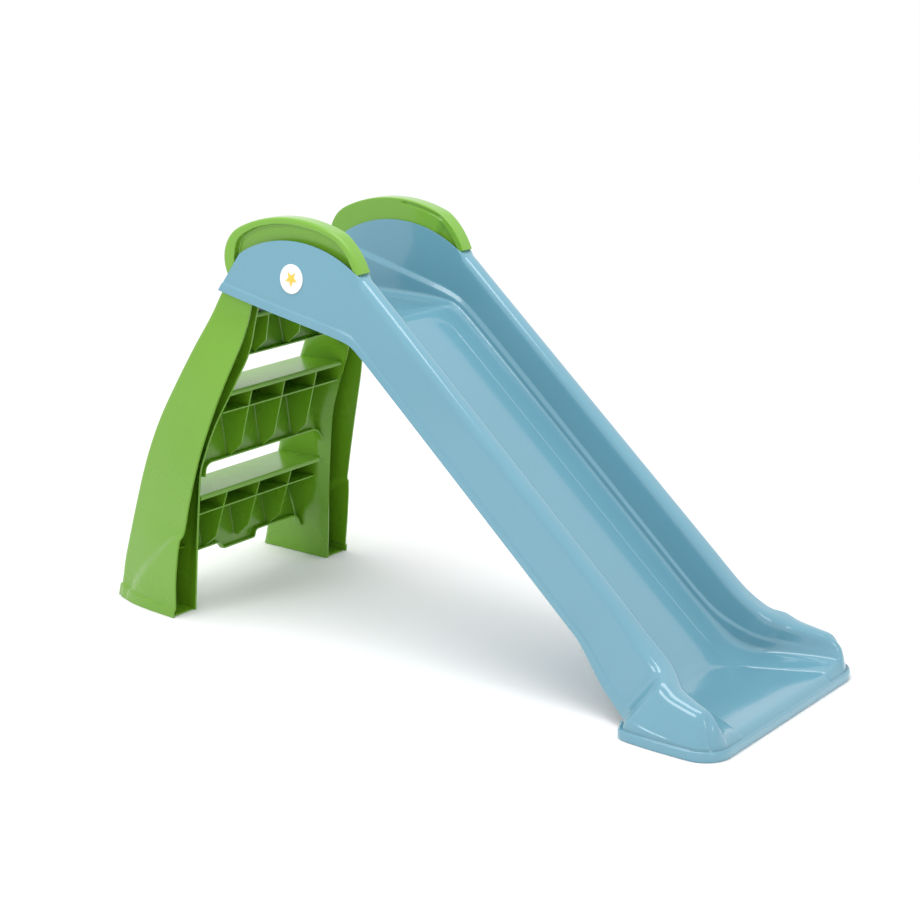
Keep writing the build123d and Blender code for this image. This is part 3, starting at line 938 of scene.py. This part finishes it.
def rail_form():
    """One rail on the +Y side: outer plate, rear web and inner plate as one channel, open to the front."""
    z = RAIL_LEVELS
    rear, front = at_levels(REAR_LINE, z), at_levels(FRONT_LINE, z)
    rear_out, front_out = at_levels(REAR_OUT, z), at_levels(FRONT_OUT, z)
    front_in = at_levels(FRONT_IN_LINE, z)
    of_front, of_rear = BULGE_SHARES
    middle = of_front * front + of_rear * rear
    middle_out = of_front * front_out + of_rear * rear_out + at_levels(BULGE, z)
    corners = np.stack([
        np.stack([front, front_out, z], axis=1),
        np.stack([middle, middle_out, z], axis=1),
        np.stack([rear, rear_out, z], axis=1),
        np.stack([at_levels(REAR_IN_LINE, z), at_levels(REAR_IN, z), z], axis=1),
        np.stack([front_in - BEND_BACK, at_levels(BEND_IN, z), z], axis=1),
        np.stack([front_in, at_levels(FRONT_IN, z), z], axis=1),
    ], axis=1)
    legs = np.tile(RAIL_LEGS, (len(z), 1, 1))
    points, starts = rounded_rows(corners, legs, RAIL_STEPS, turn=7)
    columns = np.arange(points.shape[1])[None, :]
    plate = np.where(columns < starts[2], 1.0, 0.0)
    edges, _ = zip(*PANEL_EDGE)
    edge = at_levels(PANEL_EDGE, np.clip(points[:, :, 0], edges[0], edges[-1]))
    raised = smooth((edge - points[:, :, 2]) / 6.0 + 0.5) * smooth((points[:, :, 0] - rear[:, None]) / 60.0)
    points[:, :, 1] += PANEL_OUT * raised * plate
    across = np.clip((points[:, :, 0] - rear[:, None]) / (front - rear)[:, None], 0.0, 1.0)
    bead = smooth((FOOT_BEAD_HEIGHT - FOOT_BEAD_FALL * across - points[:, :, 2]) / 2.4)
    round_the_rear = smooth((starts[3] - columns) / 6.0)
    points[:, :, 1] += FOOT_BEAD * bead * plate
    points[:, :, 0] -= FOOT_BEAD_BACK * bead * (1.0 - plate) * round_the_rear
    faces = [tuple(reversed(face)) for face in grid_faces(*points.shape[:2])]
    return thickened("rail_sheet", points.reshape(-1, 3), faces)


def rail_webs():
    """Web that closes the channel at the foot, and the small shelf inside it higher up."""
    meshes = []
    for height, thick, back in CHANNEL_WEBS:
        z = height + 1.0
        rear, front = at_levels(REAR_LINE, z), at_levels(FRONT_LINE, z)
        rear_in = at_levels(REAR_IN_LINE, z)
        out_r, in_r = at_levels(REAR_OUT, z), at_levels(REAR_IN, z)
        out_f, in_f = at_levels(FRONT_OUT, z), at_levels(BEND_IN, z)
        out_f -= (out_f - out_r) * (back / (front - rear))
        outline = (
            (rear_in + 2.0, in_r + 1.5, 0.0),
            (front - back, in_f + 1.5, 0.0),
            (front - back, out_f + 1.0, 0.0),
            (rear + 60.0, out_r + 12.0, 0.0),
            (rear + 4.0, out_r - 3.0, 0.0),
        )
        meshes.append(slab("rail_web", outline, 2, height + RAIL_BASE, height + thick, bevel=0.5))
    return meshes


def ladder_head():
    """Rounded tongue of a rail, up between the slide's double walls, with the pivot in it."""
    cx, cz = 1000 * PIVOT.x, 1000 * PIVOT.z
    outline = [(x, 0.0, HEAD_FOOT_Z) for x in HEAD_FOOT_X]
    for a in np.linspace(radians(-25.0), radians(150.0), 26):
        outline.append((cx + HEAD_RADIUS * cos(a), 0.0, cz + HEAD_RADIUS * sin(a)))
    return slab("ladder_head", outline, 1, *HEAD_Y, bevel=2.0)


def inner_plate_y(x, z):
    """Half the width between the inner plates at a place on their straight stretch."""
    start, end = at_levels(REAR_IN_LINE, z), at_levels(FRONT_IN_LINE, z) - BEND_BACK
    share = np.clip((x - start) / (end - start), 0.0, 1.0)
    return float(at_levels(REAR_IN, z) * (1.0 - share) + at_levels(BEND_IN, z) * share)


def step_sheet(step, tabbed):
    """Tread, riser and flange of a step; its lower edge curls up at both ends, and may have a tab."""
    top, back, front, foot, foot_x = step
    end_back = inner_plate_y(back, top) + 1.0
    end_front = inner_plate_y(front, top) + 1.0
    low_end = inner_plate_y(foot_x, foot) + 1.0
    across = np.linspace(-1.0, 1.0, 61)
    count = len(across)
    tab = np.zeros(count)
    if tabbed:
        tab = TAB_DROP * smooth((TAB_HALF - np.abs(across * low_end)) / 4.0)
    inward = low_end - np.abs(across) * low_end
    arc = np.sqrt(np.maximum(WINDOW_CORNER ** 2 - (WINDOW_CORNER - inward) ** 2, 0.0))
    curl = np.where(inward < WINDOW_CORNER, WINDOW_CORNER - arc, 0.0)
    low = foot - tab - curl
    low_x = foot_x + (low - foot) * riser_lean(step)

    def row(x, half, z):
        return np.stack([np.broadcast_to(x, count), across * half, np.broadcast_to(z, count)], axis=1)

    corners = np.stack([
        row(front, end_front, top - STEP_LIP),
        row(front, end_front, top),
        row(back, end_back, top),
        row(low_x, low_end, low),
        row(low_x + STEP_FLANGE, low_end, low + 0.8),
    ], axis=1)
    points, _ = rounded_rows(corners, np.tile(STEP_LEGS, (count, 1, 1)), STEP_STEPS, turn=5)
    faces = [tuple(reversed(face)) for face in grid_faces(*points.shape[:2])]
    return thickened("step_sheet", points.reshape(-1, 3), faces, wall=STEP_WALL, bevel=0.7)


def riser_lean(step):
    """How far a step's riser comes forward for each millimetre up."""
    top, back, _, foot, foot_x = step
    return (foot_x - back) / (foot - top)


def step_ribs(step):
    """Three upright ribs under a tread."""
    top, back, front, foot, foot_x = step
    outline = (
        (back + 2.5, 0.0, top - 2.0),
        (front - 1.5, 0.0, top - 2.0),
        (foot_x + RIB_CORNER[0], 0.0, foot + RIB_CORNER[1]),
        (foot_x + 10.0, 0.0, foot + 1.5),
        (foot_x + 1.5, 0.0, foot + 1.5),
    )
    meshes = []
    for y in (-RIB_PITCH, 0.0, RIB_PITCH):
        meshes.append(slab("step_rib", outline, 1, y - RIB / 2, y + RIB / 2, bevel=0.5))
    return meshes


def step_shelf(step):
    """Flat shelf that crosses the ribs under a tread."""
    top, back, front, foot, foot_x = step
    level = top - SHELF_DROP
    share = SHELF_DROP / (top - (foot + RIB_CORNER[1]))
    shelf_front = front + share * (foot_x + RIB_CORNER[0] - front)
    shelf_back = back - SHELF_DROP * riser_lean(step)
    near = inner_plate_y(shelf_front, level) + 0.5
    far = inner_plate_y(shelf_back, level) + 0.5
    outline = (
        (shelf_back + 1.5, -far, 0.0),
        (shelf_front - 0.5, -near, 0.0),
        (shelf_front - 0.5, near, 0.0),
        (shelf_back + 1.5, far, 0.0),
    )
    return slab("step_shelf", outline, 2, level - RIB, level, bevel=0.5)


def build_ladder():
    meshes = []
    for part in [rail_form(), ladder_head()] + rail_webs():
        meshes += [part, mirrored(part)]
    for step in STEPS:
        meshes.append(step_sheet(step, tabbed=step is STEPS[0]))
        meshes += step_ribs(step)
        if step is not STEPS[-1]:
            meshes.append(step_shelf(step))
    make_object("ladder_frame_form", meshes, ladder_green, "ladder", ("ladder_frame",))


# Badges

BADGE_RADIUS = 22.5
BADGE_X, BADGE_Z = -214.0, 566.0
BADGE_STEPS = 72
# Face of the badge with its raised border, from the middle out: (radius, height)
BADGE_PROFILE = (
    (0.0, 0.55), (17.0, 0.55), (18.4, 0.6), (19.2, 1.15), (20.2, 1.35), (21.6, 1.2), (BADGE_RADIUS, 0.5),
    (BADGE_RADIUS, 0.0),
)
STAR_RADII = (12.5, 5.6)
STAR_HEIGHTS = (0.3, 1.25)
WALL_TILT = 0.095


def badge_disc():
    """Round badge with a raised border, lying flat."""
    points = [(0.0, 0.0, BADGE_PROFILE[0][1])]
    for radius, height in BADGE_PROFILE[1:]:
        for a in np.linspace(0, 2 * pi, BADGE_STEPS, endpoint=False):
            points.append((radius * cos(a), radius * sin(a), height))
    rings = len(BADGE_PROFILE) - 1
    faces = [(0, 1 + j, 1 + (j + 1) % BADGE_STEPS) for j in range(BADGE_STEPS)]
    for i in range(rings - 1):
        for j in range(BADGE_STEPS):
            a, b = 1 + i * BADGE_STEPS + j, 1 + i * BADGE_STEPS + (j + 1) % BADGE_STEPS
            faces.append((a, a + BADGE_STEPS, b + BADGE_STEPS, b))
    faces.append(tuple(1 + (rings - 1) * BADGE_STEPS + j for j in range(BADGE_STEPS))[::-1])
    return mesh_from("badge_disc", points, faces)


def badge_star():
    """Plain five-point star, lying flat."""
    outline = []
    for k in range(10):
        radius = STAR_RADII[k % 2]
        a = pi / 2 + k * pi / 5
        outline.append((radius * cos(a), radius * sin(a), 0.0))
    return slab("badge_star", outline, 2, *STAR_HEIGHTS, bevel=0.35)


def build_badges():
    """A badge with its star on each outer wall."""
    below = float(rim_z(BADGE_X)) - BADGE_Z
    wall_y = RIM_OUTER[0] + (SIDE_FLARE * SQUARE - WALL_TUCK) * below
    place = (Matrix.Translation((BADGE_X, wall_y + 0.1, BADGE_Z))
             @ Matrix.Rotation(atan(WALL_TILT), 4, "X") @ Matrix.Rotation(-pi / 2, 4, "X"))
    disc, star = badge_disc(), badge_star()
    for mesh in (disc, star):
        mesh.transform(place)
    right = (mirrored(disc), mirrored(star))
    for name, (face, mark) in (("badge_left", (disc, star)), ("badge_right", right)):
        make_object(name + "_form", [face], badge_white, "slide", (name,))
        make_object(name + "_star", [mark], badge_yellow, "slide")


build_slide()
build_handrails()
build_ladder()
build_badges()
for name in ("pivot_pin_left", "pivot_pin_right"):
    pin = frame["nodes"][name]
    pin.data.materials.clear()
    pin.data.materials.append(pin_plastic)


# Studio

FLOOR_SIZE = 60.0
FLOOR_CELLS = 40


def build_floor():
    """Large pale floor."""
    places = [FLOOR_SIZE * (i / FLOOR_CELLS - 0.5) for i in range(FLOOR_CELLS + 1)]
    points = [(x, y, 0.0) for x in places for y in places]
    mesh = bpy.data.meshes.new("studio_floor")
    mesh.from_pydata(points, [], grid_faces(FLOOR_CELLS + 1, FLOOR_CELLS + 1))
    floor = bpy.data.objects.new("studio_floor", mesh)
    bpy.context.scene.collection.objects.link(floor)
    material = bpy.data.materials.new("studio_floor")
    material.use_nodes = True
    shader = material.node_tree.nodes["Principled BSDF"]
    shader.inputs["Base Color"].default_value = (0.92, 0.92, 0.92, 1.0)
    shader.inputs["Roughness"].default_value = 0.9
    shader.inputs["Specular IOR Level"].default_value = 0.1
    mesh.materials.append(material)


def area_light(name, place, target, size, power):
    """Soft rectangular light of a width and height, turned to a target."""
    light = bpy.data.lights.new(name, "AREA")
    light.shape = "RECTANGLE"
    light.size, light.size_y = size
    light.energy = power
    thing = bpy.data.objects.new(name, light)
    bpy.context.scene.collection.objects.link(thing)
    thing.location = place
    thing.rotation_euler = (Vector(target) - Vector(place)).to_track_quat("-Z", "Y").to_euler()


def build_world(strength):
    """White surroundings."""
    world = bpy.data.worlds.new("studio")
    world.use_nodes = True
    background = world.node_tree.nodes["Background"]
    background.inputs["Color"].default_value = (1.0, 1.0, 1.0, 1.0)
    background.inputs["Strength"].default_value = strength
    bpy.context.scene.world = world


def build_camera():
    """Camera at the photograph's viewing angle."""
    azimuth, elevation = radians(36.48), radians(15.58)
    camera = bpy.data.cameras.new("camera")
    camera.sensor_width = 36.0
    camera.lens = 82.43
    camera.clip_end = 50.0
    thing = bpy.data.objects.new("camera", camera)
    bpy.context.scene.collection.objects.link(thing)
    thing.location = (1.85485, -2.51680, 1.15682)
    thing.rotation_euler = (pi / 2 - elevation, 0.0, azimuth)
    bpy.context.scene.camera = thing


build_floor()
build_world(strength=1.1)
area_light("overhead", (0.15, -0.25, 2.1), target=(0.05, 0.0, 0.2), size=(1.5, 0.8), power=17.0)
area_light("key", (-0.9, -2.3, 1.9), target=(-0.15, 0.0, 0.5), size=(0.9, 0.9), power=13.0)
area_light("side", (2.4, -1.2, 1.1), target=(0.4, 0.0, 0.1), size=(0.5, 0.9), power=5.0)
build_camera()
bpy.context.scene.view_settings.view_transform = "Standard"
